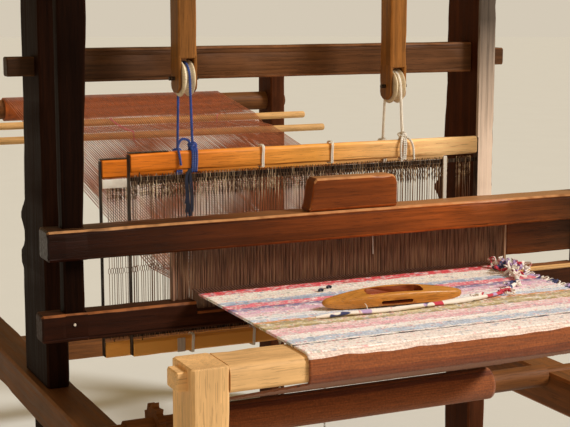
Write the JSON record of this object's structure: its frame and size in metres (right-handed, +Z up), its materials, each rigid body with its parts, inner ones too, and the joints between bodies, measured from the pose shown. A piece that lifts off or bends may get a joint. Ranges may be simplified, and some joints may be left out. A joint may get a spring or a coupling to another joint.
{
  "type": "hand loom",
  "caption": "Two-shaft counterbalance floor loom for rag rugs, with a hanging beater, pulley-hung heddle shafts, treadles, warp and cloth beams, and a rug on the loom",
  "frame": {"origin": "middle of the bounding box's footprint, on the floor", "axes": "+X to the weaver's right, +Y from the weaver towards the warp beam, +Z up"},
  "size_m": [1.264, 2.16, 1.78],
  "materials": {
    "dark_timber": "aged, matt",
    "brown_timber": "worn, satin",
    "red_brown_timber": "worn, satin",
    "honey_wood": "satin",
    "pale_wood": "worn, matt",
    "dark_steel": "dull",
    "warp_yarn": "cotton warp",
    "rag_cloth": "woven rags",
    "blue_cord": "twisted cord",
    "cream_cord": "twisted cord",
    "white_thread": "wound thread"
  },
  "bodies": {
    "frame": {"left_side_beam": "brown_timber", "right_side_beam": "brown_timber", "left_upright": "dark_timber", "right_upright": "dark_timber", "front_posts": "brown_timber", "rear_posts": "dark_timber", "middle_legs": "dark_timber", "cross_rail": "brown_timber", "top_arms": "dark_timber", "head_rail": "dark_timber", "frame_pegs": "honey_wood", "stretchers": "brown_timber", "breast_beam": "pale_wood", "harness_bar": "dark_timber", "left_hanger": "brown_timber", "right_hanger": "brown_timber", "hanger_pegs": "honey_wood", "pulley_pins": "dark_steel", "lease_sticks": "honey_wood", "warp_threads": "warp_yarn", "rug": "rag_cloth", "weft_strip": "rag_cloth", "weft_sticks": "pale_wood", "shuttle": "honey_wood", "bobbin": "white_thread", "treadle_lugs": "brown_timber", "treadle_rod": "honey_wood", "pawl_pins": "dark_steel", "left_cord_over": "blue_cord", "right_cord_over": "cream_cord"},
    "beater": {"beater_rocker": "dark_timber", "beater_swords": "red_brown_timber", "beater_top_rail": "red_brown_timber", "beater_grip": "red_brown_timber", "beater_lower_rail": "red_brown_timber", "reed": "dark_steel", "reed_filler": "red_brown_timber"},
    "front_shaft": {"front_shaft_bars": "honey_wood", "front_shaft_irons": "dark_steel", "front_heddles": "dark_steel", "front_tie_cord": "cream_cord", "left_cord_front": "blue_cord", "right_cord_front": "cream_cord"},
    "back_shaft": {"back_shaft_bars": "honey_wood", "back_shaft_irons": "dark_steel", "back_heddles": "dark_steel", "back_tie_cord": "cream_cord", "left_cord_back": "blue_cord", "right_cord_back": "cream_cord"},
    "left_wheel": {"left_wheel": "pale_wood"},
    "right_wheel": {"right_wheel": "pale_wood"},
    "left_treadle": {"left_treadle": "brown_timber"},
    "right_treadle": {"right_treadle": "brown_timber"},
    "warp_beam": {"warp_beam": "brown_timber", "warp_roll": "warp_yarn"},
    "cloth_beam": {"cloth_beam": "brown_timber", "cloth_roll": "rag_cloth"},
    "warp_pawl": {"warp_pawl": "dark_steel"},
    "cloth_pawl": {"cloth_pawl": "dark_steel"}
  },
  "joints": [
    {"name": "beater_swing", "type": "hinge", "parent": "frame", "child": "beater", "pos_m": [0, -0.534, 1.702], "axis": [1, 0, 0], "range_deg": [-1.6, 7]},
    {"name": "front_shaft_lift", "type": "slide", "parent": "frame", "child": "front_shaft", "axis": [0, 0, 1], "range_m": [-0.059, 0.031], "deforming": ["left_cord_front", "right_cord_front"]},
    {"name": "back_shaft_lift", "type": "slide", "parent": "frame", "child": "back_shaft", "axis": [0, 0, 1], "range_m": [-0.031, 0.059], "deforming": ["left_cord_back", "right_cord_back"]},
    {"name": "left_wheel_turn", "type": "hinge", "parent": "frame", "child": "left_wheel", "pos_m": [-0.267, -0.324, 1.141], "axis": [1, 0, 0], "range_deg": [-56, 105]},
    {"name": "right_wheel_turn", "type": "hinge", "parent": "frame", "child": "right_wheel", "pos_m": [0.215, -0.324, 1.112], "axis": [1, 0, 0], "range_deg": [-56, 105]},
    {"name": "left_treadle_press", "type": "hinge", "parent": "frame", "child": "left_treadle", "pos_m": [-0.075, -0.95, 0.095], "axis": [1, 0, 0], "range_deg": [-6, 3.2]},
    {"name": "right_treadle_press", "type": "hinge", "parent": "frame", "child": "right_treadle", "pos_m": [0.075, -0.95, 0.095], "axis": [1, 0, 0], "range_deg": [-2.8, 5.2]},
    {"name": "warp_beam_turn", "type": "hinge", "parent": "frame", "child": "warp_beam", "pos_m": [0, 0.99, 0.98], "axis": [1, 0, 0], "continuous": true},
    {"name": "cloth_beam_turn", "type": "hinge", "parent": "frame", "child": "cloth_beam", "pos_m": [0, -0.54, 0.49], "axis": [1, 0, 0], "continuous": true},
    {"name": "warp_pawl_swing", "type": "hinge", "parent": "frame", "child": "warp_pawl", "pos_m": [-0.413, 0.96, 0.88], "axis": [1, 0, 0], "range_deg": [-30, 110]},
    {"name": "cloth_pawl_swing", "type": "hinge", "parent": "frame", "child": "cloth_pawl", "pos_m": [-0.413, -0.625, 0.455], "axis": [1, 0, 0], "range_deg": [-30, 75]}
  ],
  "couplings": [
    {"joint": "back_shaft_lift", "follows": "front_shaft_lift", "ratio": -1},
    {"joint": "left_wheel_turn", "follows": "front_shaft_lift", "rad_per_m": -30.395},
    {"joint": "right_wheel_turn", "follows": "front_shaft_lift", "rad_per_m": -30.395},
    {"joint": "left_treadle_press", "follows": "front_shaft_lift", "rad_per_m": 1.7182},
    {"joint": "right_treadle_press", "follows": "front_shaft_lift", "rad_per_m": -1.4925}
  ]
}
